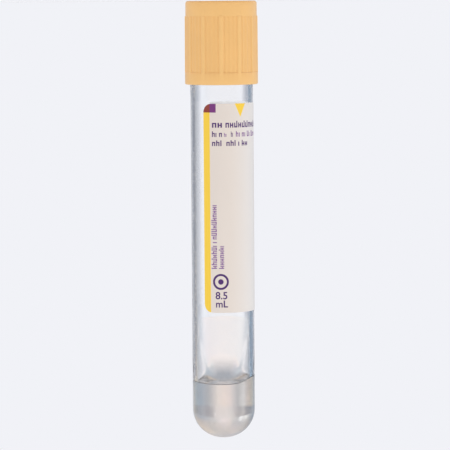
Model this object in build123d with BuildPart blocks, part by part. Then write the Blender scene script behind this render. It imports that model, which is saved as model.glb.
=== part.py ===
from build123d import *
from math import asin, cos, degrees, radians, sin, sqrt, tan
import os

# Round-bottomed blood collection tube with separator gel, a wrapped label and a pull-off
# closure: a rubber stopper seated in a ribbed plastic shield.
# Millimetres. The tube stands on its closure on the XY floor, round end up, because the
# closure's flat crown is the only end that it can stand on. Its front faces -Y.
# Heights are measured along the tube's axis from its round tip down to the closure. Angles
# round the axis start at the front and grow towards -X, the right of a viewer who faces the
# front with the closure at the top.

# ---------------------------------------------------------------- sizes that can be set
# Tube
tube_length = 100.0             # round tip to rim
tube_radius = 7.84              # straight stretch, from the round end to above the label
rim_flare = 0.09                # the wall above that opens by this much to the rim
tube_wall = 1.1
end_offset = 0.49               # the round end's corner is centred this far off the axis
end_blunting = 2.25             # and its middle has a radius this much larger than the corner's
rim_bevel = 0.30

# Label
label_bottom = 32.5
label_height = 52.1
label_thickness = 0.10
label_start = -35.0             # angle of its leading edge
label_wrap = 247.0              # angle that it covers; the rest is the reading window
label_corner = 2.2
label_margin = 1.2              # straight wall left above the label

# Separator gel
gel_level = 14.1                # its flat surface, in the front half
gel_climb = 30.0                # how high it runs up the back wall
gel_lip = 0.4                   # the fronts of its two lips lie this far behind the axis
gel_scoop_width = 4.15          # half width of the scoop between the lips, at gel_level
gel_scoop_depth = 4.5           # and how far behind the axis it reaches there
gel_scoop_spread = 0.21         # growth of its half width with height
gel_edge = 0.25                 # thickness left at the top of the film behind it
gel_bevel = 1.2                 # bevel between the scoop's floor and side

# Stopper
plug_depth = 9.5                # below the rim
plug_lead = 0.9                 # chamfer that leads it into the bore
plug_groove_depth = 0.35        # relief between the two sealing lands
plug_groove_height = 2.4
plug_land_height = 2.2          # lower sealing land
plug_hollow_radius = 4.0        # hollow underside
plug_hollow_depth = 5.6
plug_hollow_bevel = 1.2
flange_height = 2.4             # flange that sits on the rim
neck_height = 1.8               # groove that the shield grips
neck_inset = 1.55               # how far the groove goes in from the flange
head_inset = 0.65               # how far the head is in from the flange
head_height = 3.0
head_bevel = 0.4
well_radius = 3.9               # well over the diaphragm
well_depth = 2.6
well_bevel = 0.7

# Shield
skirt_depth = 10.8              # below the rim
shield_rise = 10.0              # above the rim
skirt_wall = 0.90               # wall at the smooth lower band, the widest place
band_height = 3.0
grip_height = 13.9              # ribbed zone
shield_taper = 0.2              # draft of the outside above the band, degrees
cap_inset = 0.16                # smooth upper zone, in from the tops of the main ribs
skirt_wall_gap = 0.30           # room between the rim's outside and the skirt
plate_thickness = 1.5
port_radius = 4.4               # opening over the stopper's well
port_bevel = 0.30
crown_round = 0.65
hem_bevel = 0.35
hem_lead = 0.35                 # chamfer inside the skirt's lower edge

# Grip ribs
main_ribs = 12
fine_ribs_between = 3
main_rib_width = 1.05
fine_rib_width = 0.50
panel_depth = 0.26              # valleys, in from the tops of the main ribs
fine_rib_height = 0.13

# Clearances
plug_clearance = 0.03           # running fit of the stopper in the bore
seat_gap = 0.02                 # stopper flange over the rim
grip_gap = 0.04                 # shield ledge in the stopper's groove, all round
flange_gap = 0.10               # stopper flange inside the skirt
gel_gap = 0.02                  # gel inside the bore
glue_line = 0.02                # label over the tube

# ---------------------------------------------------------------- worked-out sizes
rim_radius = tube_radius + rim_flare
end_corner = tube_radius - end_offset
end_crown = end_corner + end_blunting
end_height = end_crown - sqrt(end_blunting**2 - end_offset**2)
label_top = label_bottom + label_height
flare_start = label_top + label_margin
skirt_bottom = tube_length - skirt_depth
shield_top = tube_length + shield_rise
band_top = skirt_bottom + band_height
grip_top = band_top + grip_height
skirt_inner = rim_radius + skirt_wall_gap
band_radius = skirt_inner + skirt_wall
flange_bottom = tube_length + seat_gap
neck_bottom = flange_bottom + flange_height
neck_top = neck_bottom + neck_height
head_top = neck_top + head_height
flange_radius = skirt_inner - flange_gap
neck_radius = flange_radius - neck_inset
head_radius = flange_radius - head_inset


def wall_radius(height):
    """Outer radius of the tube's wall at a height above the tip."""
    if height <= flare_start:
        return tube_radius
    return tube_radius + rim_flare * (height - flare_start) / (tube_length - flare_start)


def bore_radius(height):
    """Inner radius of the tube's wall at a height above the tip."""
    return wall_radius(height) - tube_wall


def rib_radius(height):
    """Radius of the shield's drafted outside, at the tops of the main ribs."""
    return band_radius - tan(radians(shield_taper)) * (height - band_top)


def round_end(depth):
    """Arcs of the round end's section, this deep in the wall, for the sketch being drawn."""
    turn = degrees(asin(end_offset / end_blunting))
    CenterArc((0, end_crown), end_crown - depth, -90, turn)
    CenterArc((end_offset, end_height), end_corner - depth, turn - 90, 90 - turn)


# ---------------------------------------------------------------- frame on the floor
# Directions: along the tube from its tip to its closure (down), to its front and to its right.
along = Vector(0, 0, -1)
front = Vector(0, -1, 0)
right = along.cross(front)

# The round tip is at the top, and the closure's crown is on the floor.
tip = Vector(0, 0, shield_top)
tube_axis = Axis(tip, along)


def station(height):
    """Plane across the tube at a height: local x to the front, local y to the right."""
    return Plane(origin=tip + along * height, x_dir=front, z_dir=along)


def section_at(angle):
    """Plane through the tube's axis: local x is the radius, local y the height."""
    side = front * cos(radians(angle)) + right * sin(radians(angle))
    return Plane(origin=tip, x_dir=side, z_dir=side.cross(along))


section = section_at(0)

# ---------------------------------------------------------------- tube
with BuildPart() as tube:
    with BuildSketch(section):
        with BuildLine():
            round_end(0)
            Polyline(
                (tube_radius, end_height),
                (tube_radius, flare_start),
                (rim_radius, tube_length),
                (bore_radius(tube_length), tube_length),
                (bore_radius(flare_start), flare_start),
                (bore_radius(flare_start), end_height),
            )
            round_end(tube_wall)
            Line((0, 0), (0, tube_wall))
        make_face()
    revolve(axis=tube_axis)
    rim_edges = tube.edges().filter_by(GeomType.CIRCLE).sort_by(tube_axis)[-2:]
    chamfer(rim_edges, rim_bevel)

# ---------------------------------------------------------------- separator gel
gel_radius = bore_radius(0) - gel_gap


def scoop_outline(height, inset=0.0):
    """Oval section of the scoop at a height; it widens up to the film's edge at gel_climb."""
    rise = height - gel_level
    width = gel_scoop_width + gel_scoop_spread * rise
    depth = gel_scoop_depth + (gel_radius - gel_edge - gel_scoop_depth) * rise / (gel_climb - gel_level)
    with BuildSketch(station(height)) as outline:
        Ellipse(depth - inset, width - inset)
    return outline.sketch


with BuildPart() as separator_gel:
    with BuildSketch(section):
        with BuildLine():
            round_end(tube_wall + gel_gap)
            Polyline(
                (gel_radius, end_height),
                (gel_radius, gel_climb),
                (0, gel_climb),
                (0, tube_wall + gel_gap),
            )
        make_face()
    revolve(axis=tube_axis)
    # The front half lies flat at gel_level; the scoop opens behind it, between the lips.
    with BuildSketch(section):
        with Locations((-gel_lip, gel_level)):
            Rectangle(2 * tube_radius, gel_climb, align=(Align.MIN, Align.MIN))
    extrude(amount=2 * tube_radius, both=True, mode=Mode.SUBTRACT)
    loft(
        [
            scoop_outline(gel_level, inset=gel_bevel),
            scoop_outline(gel_level + gel_bevel),
            scoop_outline(gel_climb),
        ],
        ruled=True,
        mode=Mode.SUBTRACT,
    )

# ---------------------------------------------------------------- label
label_end = label_start + label_wrap
label_inner = tube_radius + glue_line
# Each corner: angle and way into the label round the tube, height and way into it along it.
label_corners = [
    (label_start, 1, label_bottom, 1),
    (label_start, 1, label_top, -1),
    (label_end, -1, label_bottom, 1),
    (label_end, -1, label_top, -1),
]

with BuildPart() as label:
    with BuildSketch(section_at(label_start)):
        with BuildLine():
            Polyline(
                (label_inner, label_bottom),
                (label_inner + label_thickness, label_bottom),
                (label_inner + label_thickness, label_top),
                (label_inner, label_top),
                close=True,
            )
        make_face()
    revolve(axis=tube_axis, revolution_arc=label_wrap)
    for angle, turn, height, rise in label_corners:
        inward = section_at(angle + 90).x_dir * turn
        corner_plane = Plane(
            origin=tip + along * height,
            x_dir=inward,
            z_dir=inward.cross(along * rise),
        )
        with BuildSketch(corner_plane):
            with Locations((label_corner, label_corner)):
                Rectangle(1.1 * label_corner, 1.1 * label_corner, align=(Align.MAX, Align.MAX))
            with Locations((label_corner, label_corner)):
                Circle(label_corner, mode=Mode.SUBTRACT)
        extrude(amount=turn * rise * 2 * rim_radius, mode=Mode.SUBTRACT)

# ---------------------------------------------------------------- stopper
plug_bottom = flange_bottom - plug_depth
land_top = plug_bottom + plug_lead + plug_land_height
groove_top = land_top + plug_groove_height
hollow_top = plug_bottom + plug_hollow_depth
well_floor = head_top - well_depth


def rings_of(rings, radius):
    """Those of the round edges that have a radius, in order along the tube."""
    return rings.filter_by(lambda ring: abs(ring.radius - radius) < 0.001).sort_by(tube_axis)


def plug_radius(height):
    """Radius of the stopper's sealing lands, which follow the bore."""
    return bore_radius(height) - plug_clearance


with BuildPart() as stopper:
    with BuildSketch(section):
        with BuildLine():
            Polyline(
                (0, well_floor),
                (0, hollow_top),
                (plug_hollow_radius, hollow_top),
                (plug_hollow_radius, plug_bottom),
                (plug_radius(plug_bottom) - plug_lead, plug_bottom),
                (plug_radius(plug_bottom), plug_bottom + plug_lead),
                (plug_radius(land_top), land_top),
                (plug_radius(land_top) - plug_groove_depth, land_top + plug_groove_depth),
                (plug_radius(groove_top) - plug_groove_depth, groove_top - plug_groove_depth),
                (plug_radius(groove_top), groove_top),
                (plug_radius(tube_length), flange_bottom),
                (flange_radius, flange_bottom),
                (flange_radius, neck_bottom),
                (neck_radius, neck_bottom),
                (neck_radius, neck_top),
                (head_radius, neck_top),
                (head_radius, head_top),
                (well_radius, head_top),
                (well_radius, well_floor),
                close=True,
            )
        make_face()
    revolve(axis=tube_axis)
    rings = stopper.edges().filter_by(GeomType.CIRCLE)
    chamfer(rings_of(rings, head_radius)[-1], head_bevel)
    chamfer(rings_of(rings, well_radius)[0], well_bevel)
    chamfer(rings_of(rings, plug_hollow_radius)[-1], plug_hollow_bevel)

# ---------------------------------------------------------------- shield
ledge_radius = neck_radius + grip_gap
ledge_bottom = neck_bottom + grip_gap
ledge_top = neck_top - grip_gap
head_room = head_radius + grip_gap
plate_bottom = shield_top - plate_thickness
rib_pitch = 360 / (main_ribs * (fine_ribs_between + 1))


def valley_radius(height):
    """Radius of the valleys between the grip ribs."""
    return rib_radius(height) - panel_depth


def grip_outline(height):
    """Section of the ribbed zone at a height: valleys, fine ribs and main ribs in one outline."""
    valley = valley_radius(height)
    with BuildSketch(station(height)) as outline:
        Circle(valley)
        with PolarLocations(valley, main_ribs * (fine_ribs_between + 1)):
            Rectangle(2 * fine_rib_height, fine_rib_width)
        with PolarLocations(valley, main_ribs):
            Rectangle(2 * panel_depth, main_rib_width)
    return outline.sketch


with BuildPart() as shield:
    with BuildSketch(section):
        with BuildLine():
            Polyline(
                (0, skirt_bottom),
                (band_radius, skirt_bottom),
                (band_radius, band_top),
                (0, band_top),
                close=True,
            )
        make_face()
    revolve(axis=tube_axis)
    hem_edge = shield.edges().filter_by(GeomType.CIRCLE).sort_by(tube_axis)[0]
    chamfer(hem_edge, hem_bevel)
    loft([grip_outline(band_top), grip_outline(grip_top)], ruled=True)
    with BuildSketch(section):
        with BuildLine():
            Polyline(
                (0, grip_top),
                (rib_radius(grip_top) - cap_inset, grip_top),
                (rib_radius(shield_top) - cap_inset, shield_top),
                (0, shield_top),
                close=True,
            )
        make_face()
    revolve(axis=tube_axis)
    crown_edge = shield.edges().filter_by(GeomType.CIRCLE).sort_by(tube_axis)[-1]
    fillet(crown_edge, crown_round)
    # Inside: skirt bore, ledge that grips the stopper's groove, head room and the port.
    with BuildSketch(section):
        with BuildLine():
            Polyline(
                (0, skirt_bottom),
                (skirt_inner + hem_lead, skirt_bottom),
                (skirt_inner, skirt_bottom + hem_lead),
                (skirt_inner, ledge_bottom),
                (ledge_radius, ledge_bottom),
                (ledge_radius, ledge_top),
                (head_room, ledge_top),
                (head_room, plate_bottom),
                (port_radius, plate_bottom),
                (port_radius, shield_top),
                (0, shield_top),
                close=True,
            )
        make_face()
    revolve(axis=tube_axis, mode=Mode.SUBTRACT)
    rings = shield.edges().filter_by(GeomType.CIRCLE)
    chamfer(rings_of(rings, port_radius)[-1], port_bevel)

# ---------------------------------------------------------------- export
tube.part.label = "tube"
separator_gel.part.label = "separator_gel"
label.part.label = "label"
stopper.part.label = "stopper"
shield.part.label = "shield"

os.makedirs("parts", exist_ok=True)
export_step(tube.part, "parts/tube.step")
export_step(separator_gel.part, "parts/separator_gel.step")
export_step(label.part, "parts/label.step")
export_step(stopper.part, "parts/stopper.step")
export_step(shield.part, "parts/shield.step")
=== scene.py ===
"""Looks of the blood collection tube: clear tube, separator gel, wrapped label and closure.

Lengths in the classes are millimetres, measured along the tube from its round tip, which is at
the top: the tube stands on its closure. Angles go round the axis from the front, towards the
right of a viewer who sees the front with the closure at the top. Meshes are in metres.
"""

import logging
import math
from dataclasses import dataclass, field
from enum import Enum, IntEnum
from typing import Callable, Iterable, Sequence

import bpy
from bpy.types import Material, Node, NodeSocket, NodeTree, Object, bpy_prop_collection
from mathutils import Matrix, Vector

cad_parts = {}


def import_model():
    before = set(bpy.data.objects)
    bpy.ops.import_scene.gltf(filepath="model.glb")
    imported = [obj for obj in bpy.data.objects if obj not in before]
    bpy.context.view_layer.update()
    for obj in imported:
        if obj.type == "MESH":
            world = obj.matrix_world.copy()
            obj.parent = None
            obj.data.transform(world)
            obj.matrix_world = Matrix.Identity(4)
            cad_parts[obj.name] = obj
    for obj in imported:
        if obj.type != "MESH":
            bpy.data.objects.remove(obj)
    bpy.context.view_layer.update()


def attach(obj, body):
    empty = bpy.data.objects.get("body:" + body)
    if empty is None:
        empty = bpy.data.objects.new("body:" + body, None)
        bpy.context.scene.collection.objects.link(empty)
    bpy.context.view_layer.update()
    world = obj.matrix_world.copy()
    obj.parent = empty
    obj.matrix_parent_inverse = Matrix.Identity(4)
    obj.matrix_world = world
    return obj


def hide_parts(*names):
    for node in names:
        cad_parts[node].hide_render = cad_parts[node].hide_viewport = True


MM = 0.001
TIP = 110.0  # height of the round tip over the floor, mm
ALONG = Vector((0.0, 0.0, -1.0))
FRONT = Vector((0.0, -1.0, 0.0))
RIGHT = Vector((-1.0, 0.0, 0.0))
WELD = 1e-6  # points closer than this are one, metres
HAIR = 1e-3  # heights closer than this are one, mm
UV_UNIT = 100.0  # millimetres of the label in one unit of its UV map

log = logging.getLogger("blood_tube")

Point = tuple[float, float]
Colour = tuple[float, float, float]
Ring = tuple[tuple[float, Colour], ...]


class Body(str, Enum):
    """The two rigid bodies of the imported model."""

    TUBE = "tube_body"
    CLOSURE = "closure"


class Ink(Enum):
    """Printing inks of the label, in linear colour."""

    YELLOW = (0.93, 0.62, 0.052)
    VIOLET = (0.072, 0.018, 0.145)
    PLUM = (0.185, 0.030, 0.190)
    RUST = (0.270, 0.045, 0.028)
    PALE_VIOLET = (0.235, 0.110, 0.300)


class Face(IntEnum):
    """Material slots of a piece that has more than one finish."""

    OUTER = 0
    INNER = 1
    PRINT = 2


# ------------------------------------------------------------------------------ places and shares
def toward(angle: float) -> Vector:
    """Direction out from the axis, at an angle in degrees from the front."""
    turn = math.radians(angle)
    return FRONT * math.cos(turn) + RIGHT * math.sin(turn)


def place(radius: float, height: float, angle: float = 0.0) -> Vector:
    """Gives a point by its place on the tube.

    Args:
        radius: distance from the axis, mm.
        height: height above the round tip, mm.
        angle: angle round the axis from the front, degrees.

    Returns:
        The point in metres.
    """
    return (toward(angle) * radius + Vector((0.0, 0.0, TIP)) + ALONG * height) * MM


def near(spot: Vector, marks: Sequence[Vector]) -> bool:
    """Tells whether a place is one of the marked ones."""
    return any((spot - mark).length < 5 * WELD for mark in marks)


def ease(share: float) -> float:
    """Soft step: 0 up to 0, 1 from 1 on, and a smooth rise between them."""
    share = min(1.0, max(0.0, share))
    return share * share * (3.0 - 2.0 * share)


# ------------------------------------------------------------------------------ mesh tools
def clear_selection() -> None:
    """Leaves edit mode and deselects every object."""
    if bpy.context.object and bpy.context.object.mode != "OBJECT":
        bpy.ops.object.mode_set(mode="OBJECT")
    bpy.ops.object.select_all(action="DESELECT")


def hold(piece: Object) -> None:
    """Leaves edit mode and makes one piece the active and the only selected one.

    Args:
        piece: the object.
    """
    clear_selection()
    piece.select_set(True)
    bpy.context.view_layer.objects.active = piece


def edit(piece: Object, whole: bool = False) -> None:
    """Opens one piece in edit mode.

    Args:
        piece: the mesh object.
        whole: select all of it, in place of nothing.
    """
    hold(piece)
    bpy.ops.object.mode_set(mode="EDIT")
    bpy.ops.mesh.select_all(action="SELECT" if whole else "DESELECT")


def pick(piece: Object, wanted: Callable[[Vector], bool]) -> None:
    """Selects vertices of a piece by their place and leaves it in edit mode.

    Args:
        piece: the mesh object.
        wanted: test on the vertex's place.
    """
    edit(piece)
    bpy.ops.mesh.select_mode(type="VERT")
    bpy.ops.object.mode_set(mode="OBJECT")
    for vertex in piece.data.vertices:
        vertex.select = wanted(vertex.co)
    bpy.ops.object.mode_set(mode="EDIT")


def finish_mesh(piece: Object, sharp: float = 32.0) -> Object:
    """Welds a piece, turns its faces outwards and shades it smooth below an angle.

    Args:
        piece: the mesh object.
        sharp: edges sharper than this many degrees stay sharp.

    Returns:
        The same piece.
    """
    edit(piece, whole=True)
    bpy.ops.mesh.remove_doubles(threshold=WELD)
    bpy.ops.mesh.dissolve_degenerate(threshold=WELD)
    bpy.ops.mesh.normals_make_consistent(inside=False)
    hold(piece)
    bpy.ops.object.shade_smooth_by_angle(angle=math.radians(sharp))
    clear_selection()
    return piece


def join(pieces: Sequence[Object], name: str) -> Object:
    """Joins meshes into the first one and names it.

    Args:
        pieces: the mesh objects.
        name: name of the joined piece.

    Returns:
        The joined piece.
    """
    clear_selection()
    for piece in pieces:
        piece.select_set(True)
    whole = pieces[0]
    bpy.context.view_layer.objects.active = whole
    bpy.ops.object.join()
    whole.name = whole.data.name = name
    clear_selection()
    return whole


@dataclass
class Turning:
    """A round piece turned on the tube's axis from a drawn section.

    Attributes:
        name: name of the piece.
        steps: faces round the axis.
        closed: the section is a closed loop that stays clear of the axis.
        corners: rounding radius, and the corners of the section that get it.
    """

    name: str
    steps: int = 192
    closed: bool = False
    corners: list[tuple[float, list[Point]]] = field(default_factory=list)

    def on_paper(self, points: Iterable[Point]) -> list[Vector]:
        """Gives points of the section their places in the plane y = 0."""
        return [Vector((radius, 0.0, TIP - height)) * MM for radius, height in points]

    def draw(self, section: Sequence[Point]) -> Object:
        """Draws the section as a chain of edges, from one vertex extruded from point to point.

        Args:
            section: radius and height of each point, mm.

        Returns:
            The chain, in the plane y = 0.
        """
        clear_selection()
        bpy.ops.mesh.primitive_plane_add(size=2 * MM, location=(0, 0, 0))
        chain = bpy.context.object
        bpy.ops.object.mode_set(mode="EDIT")
        bpy.ops.mesh.select_mode(type="VERT")
        bpy.ops.mesh.select_all(action="SELECT")
        bpy.ops.mesh.merge(type="CENTER")
        bpy.ops.mesh.select_all(action="SELECT")
        places = self.on_paper(section)
        bpy.ops.transform.translate(value=places[0])
        for last, point in zip(places, places[1:]):
            bpy.ops.mesh.extrude_region_move(TRANSFORM_OT_translate={"value": point - last})
        if self.closed:
            pick(chain, lambda spot: near(spot, (places[0], places[-1])))
            bpy.ops.mesh.edge_face_add()
        for radius, points in self.corners:
            marks = self.on_paper(points)
            pick(chain, lambda spot: near(spot, marks))
            bpy.ops.mesh.bevel(affect="VERTICES", offset=radius * MM, segments=4, clamp_overlap=True)
        return chain

    def turn(self, section: Sequence[Point]) -> Object:
        """Turns the section into a solid of revolution.

        Args:
            section: radius and height of each point, mm.

        Returns:
            The turned piece.
        """
        piece = self.draw(section)
        edit(piece, whole=True)
        whole_turn = {"angle": 2 * math.pi, "center": (0, 0, 0), "axis": (0, 0, 1)}
        bpy.ops.mesh.spin(steps=self.steps, use_auto_merge=True, **whole_turn)
        piece.name = piece.data.name = self.name
        return finish_mesh(piece)


@dataclass(frozen=True)
class RoundEnd:
    """Slightly blunt round end of the tube.

    Attributes:
        radius: outer radius of the straight wall.
        crown: radius at the middle of the end.
        corner: radius from there to the straight wall.
    """

    radius: float = 7.84
    crown: float = 9.60
    corner: float = 7.35

    @property
    def height(self) -> float:
        """Height at which the straight wall starts."""
        return self.crown - math.sqrt((self.crown - self.corner) ** 2 - (self.radius - self.corner) ** 2)

    def points(self, depth: float, steps: int) -> list[Point]:
        """Section of the end at a depth in the wall.

        Args:
            depth: how far inside the outer side, mm.
            steps: number of steps.

        Returns:
            Radius and height of each point, from the axis out to the straight wall.
        """
        aside = self.radius - self.corner
        turn = math.asin(aside / (self.crown - self.corner))
        section = []
        for step in range(steps + 1):
            angle = math.pi / 2 * step / steps
            in_crown = angle < turn
            middle, centre = (0.0, self.crown) if in_crown else (aside, self.height)
            reach = (self.crown if in_crown else self.corner) - depth
            section.append((middle + reach * math.sin(angle), centre - reach * math.cos(angle)))
        return section


# ------------------------------------------------------------------------------ node tools
class Wiring:
    """Adds and links shader nodes in one node tree."""

    def __init__(self, tree: NodeTree) -> None:
        """Keeps the tree that the nodes go into."""
        self.tree = tree

    def link(self, source: NodeSocket, node: Node, socket: str | int) -> None:
        """Feeds an input of a node from an output."""
        self.tree.links.new(source, node.inputs[socket])

    def add(self, kind: str, inputs: dict | None = None, **settings: object) -> Node:
        """Adds a node.

        Args:
            kind: node type without its ShaderNode prefix.
            inputs: for each input, by name or number, a value or the output that feeds it.
                A colour is given without its alpha.
            settings: properties of the node.

        Returns:
            The new node.
        """
        prefix = "" if kind.startswith("NodeGroup") else "ShaderNode"
        node = self.tree.nodes.new(prefix + kind)
        for key, value in settings.items():
            setattr(node, key, value)
        for key, value in (inputs or {}).items():
            if isinstance(value, NodeSocket):
                self.link(value, node, key)
            elif node.inputs[key].type == "RGBA":
                node.inputs[key].default_value = (*value, 1.0)
            else:
                node.inputs[key].default_value = value
        return node

    def maths(self, operation: str, a: object, b: object = 0.0, c: object = 0.0) -> NodeSocket:
        """Adds a Math node and gives its output."""
        return self.add("Math", {0: a, 1: b, 2: c}, operation=operation).outputs[0]

    def between(self, value: object, low: object, high: object) -> NodeSocket:
        """Mask that is 1 where a value lies between two others."""
        above = self.maths("GREATER_THAN", value, low)
        return self.maths("MULTIPLY", above, self.maths("LESS_THAN", value, high))

    def fade(self, value: object, low: float, high: float, kind: str = "LINEAR") -> NodeSocket:
        """Goes from 0 at one value to 1 at another."""
        return self.add("MapRange", {0: value, 1: low, 2: high}, interpolation_type=kind).outputs[0]

    def blend(self, factor: object, a: object, b: object, mode: str = "MIX") -> NodeSocket:
        """Mixes two colours."""
        return self.add("Mix", {0: factor, 6: a, 7: b}, data_type="RGBA", blend_type=mode).outputs[2]

    def group(self, name: str, inputs: dict) -> Node:
        """Places a node group, by its name, with its own values."""
        return self.add("Group", inputs, node_tree=bpy.data.node_groups[name])

    def ramp(self, value: object, stops: Sequence[tuple[float, Colour]]) -> NodeSocket:
        """Adds a colour ramp.

        Args:
            value: the output that drives it.
            stops: place and colour of each stop.

        Returns:
            Its colour output.
        """
        node = self.add("ValToRGB", {0: value})
        elements = node.color_ramp.elements
        for index, (at, colour) in enumerate(stops):
            element = elements[index] if index < 2 else elements.new(at)
            element.position = at
            element.color = (*colour, 1.0)
        return node.outputs[0]

    def rings(self, split: Node, rings: Sequence[Ring]) -> list[NodeSocket]:
        """Adds colour ramps that run round the object.

        Args:
            split: SeparateXYZ node of a direction or a place.
            rings: angle from straight behind to the right, and colour, of the stops of each.
                The front half repeats the back half, and a ring closes on its first colour.

        Returns:
            The colour output of each ring.
        """
        turn = self.maths("ARCTAN2", self.maths("MULTIPLY", split.outputs[0], -1.0), split.outputs[1])
        bearing = self.maths("FRACT", self.maths("MULTIPLY_ADD", turn, 1.0 / math.pi, 0.5))
        outputs = []
        for ring in rings:
            stops = [(angle / 180 + 0.5, colour) for angle, colour in ring]
            outputs.append(self.ramp(bearing, [*stops, (1.0, stops[0][1])]))
        return outputs


def new_group(
    name: str, inputs: Sequence[str], outputs: Sequence[str]
) -> tuple[Wiring, bpy_prop_collection, Node]:
    """Starts a shader node group.

    Args:
        name: name of the group.
        inputs: names of its inputs: Place is a vector, and the others are numbers.
        outputs: names of its outputs, all numbers.

    Returns:
        The group's wiring, what it is given and the node that takes its results.
    """
    wires = Wiring(bpy.data.node_groups.new(name, "ShaderNodeTree"))
    for direction, labels in (("INPUT", inputs), ("OUTPUT", outputs)):
        for label in labels:
            kind = "NodeSocketVector" if label == "Place" else "NodeSocketFloat"
            wires.tree.interface.new_socket(label, in_out=direction, socket_type=kind)
    return wires, wires.add("NodeGroupInput").outputs, wires.add("NodeGroupOutput")


def moulding_grain() -> None:
    """Builds the group with the fine skin of a moulded surface: a height, and a slow change of shade."""
    wires, given, end = new_group("moulding_grain", ("Place", "Fineness", "Tone"), ("Height", "Shade"))
    spot, fineness = given["Place"], given["Fineness"]
    fine = wires.add("TexNoise", {"Vector": spot, "Scale": fineness, "Detail": 3.0, "Roughness": 0.55})
    coarse = wires.maths("MULTIPLY", fineness, 0.06)
    slow = wires.add("TexNoise", {"Vector": spot, "Scale": coarse, "Detail": 2.0, "Roughness": 0.5})
    swing = wires.maths("SUBTRACT", slow.outputs["Fac"], 0.5)
    wires.link(fine.outputs["Fac"], end, "Height")
    wires.link(wires.maths("MULTIPLY_ADD", swing, given["Tone"], 1.0), end, "Shade")


def printed_block() -> None:
    """Builds the group with the mask of a printed rectangle on the label, in millimetres."""
    wires, given, end = new_group("printed_block", ("Place", "Left", "Right", "Bottom", "Top"), ("Mask",))
    split = wires.add("SeparateXYZ", {0: given["Place"]}).outputs
    across = wires.between(split[0], given["Left"], given["Right"])
    up = wires.between(split[1], given["Bottom"], given["Top"])
    wires.link(wires.maths("MULTIPLY", across, up), end, "Mask")


def printed_row() -> None:
    """Builds the group with the mask of a row of plain strokes that stands in for words.

    Each cell has one or two strokes of its own heights and, in most, a bar.
    """
    stroke, stroke_starts = 0.27, (0.06, 0.58)
    short, longer = 0.73, 0.27
    bar_ends, bar_height, bar_levels, bar_step = (0.06, 0.85), 0.19, 3.0, 0.27
    single, long_share, seed_spread = 0.22, 0.32, 7.3

    names = ("Place", "Left", "Right", "Bottom", "Top", "Pitch")
    wires, given, end = new_group("printed_row", names, ("Mask",))
    split = wires.add("SeparateXYZ", {0: given["Place"]}).outputs
    run = wires.maths("DIVIDE", wires.maths("SUBTRACT", split[0], given["Left"]), given["Pitch"])
    part = wires.maths("FRACT", run)
    row_seed = wires.maths("MULTIPLY", given["Bottom"], seed_spread)
    seed = wires.maths("ADD", wires.maths("FLOOR", run), row_seed)
    noise = wires.add("TexWhiteNoise", {"W": seed}, noise_dimensions="1D").outputs["Color"]
    chance = wires.add("SeparateXYZ", {0: noise}).outputs
    tall = wires.maths("SUBTRACT", given["Top"], given["Bottom"])
    level = wires.maths("DIVIDE", wires.maths("SUBTRACT", split[1], given["Bottom"]), tall)
    paired = wires.maths("GREATER_THAN", chance[0], single)
    strokes = []
    for start, draw in zip(stroke_starts, chance[1:3]):
        top = wires.maths("MULTIPLY_ADD", wires.maths("LESS_THAN", draw, long_share), longer, short)
        line = wires.between(part, start, start + stroke)
        strokes.append(wires.maths("MULTIPLY", line, wires.maths("LESS_THAN", level, top)))
    strokes[1] = wires.maths("MULTIPLY", strokes[1], paired)
    step = wires.maths("FLOOR", wires.maths("MULTIPLY", chance[2], bar_levels))
    step = wires.maths("MULTIPLY", step, bar_step)
    bar = wires.between(level, step, wires.maths("ADD", step, bar_height))
    bar = wires.maths("MULTIPLY", wires.between(part, *bar_ends), bar)
    marks = wires.maths("MAXIMUM", wires.maths("MAXIMUM", *strokes), wires.maths("MULTIPLY", bar, paired))
    inside = wires.group("printed_block", {label: given[label] for label in names[:-1]})
    wires.link(wires.maths("MULTIPLY", inside.outputs[0], marks), end, "Mask")


class Surface:
    """A material in the making: its Principled shader and the grain that plays over it."""

    def __init__(self, name: str, values: dict, fineness: float, tone: float) -> None:
        """Starts the material.

        Args:
            name: name of the material.
            values: constants for the shader's own sockets.
            fineness: scale of the grain.
            tone: swing of the tone over the surface.
        """
        self.material = bpy.data.materials.new(name)
        self.material.use_nodes = True
        self.material.node_tree.nodes.clear()
        self.wires = Wiring(self.material.node_tree)
        self.output = self.wires.add("OutputMaterial")
        self.shader = self.wires.add("BsdfPrincipled", values)
        self.wires.link(self.shader.outputs[0], self.output, 0)
        self.spot = self.wires.add("TexCoord").outputs["Object"]
        inputs = {"Place": self.spot, "Fineness": fineness, "Tone": tone}
        self.skin = self.wires.group("moulding_grain", inputs).outputs

    def colour(self, colour: object) -> None:
        """Feeds the base colour, shaded by the grain."""
        shaded = self.wires.blend(1.0, colour, self.skin["Shade"], "MULTIPLY")
        self.wires.link(shaded, self.shader, "Base Color")

    def roughen(self, swing: float, least: float) -> None:
        """Feeds the roughness, from the least up by a swing that follows the grain."""
        rough = self.wires.maths("MULTIPLY_ADD", self.skin["Height"], swing, least)
        self.wires.link(rough, self.shader, "Roughness")

    def emboss(self, strength: float, distance: float, height: NodeSocket | None = None) -> None:
        """Feeds the normal from a height.

        Args:
            strength: strength of the relief.
            distance: depth of the relief, metres.
            height: the height, if it isn't that of the grain.
        """
        relief = self.skin["Height"] if height is None else height
        bump = self.wires.add("Bump", {"Height": relief, "Strength": strength, "Distance": distance})
        self.wires.link(bump.outputs[0], self.shader, "Normal")

    def show_to(self, rays: str, other: Node, usual: Node | None = None) -> None:
        """Shows a shader of its own to one kind of ray.

        Args:
            rays: the Light Path output that tells those rays.
            other: the shader that they see.
            usual: the shader that the others see, if it isn't the Principled one.
        """
        seen = self.wires.add("LightPath").outputs[rays]
        usual = usual or self.shader
        mixed = self.wires.add("MixShader", {0: seen, 1: usual.outputs[0], 2: other.outputs[0]})
        self.wires.link(mixed.outputs[0], self.output, 0)


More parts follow.
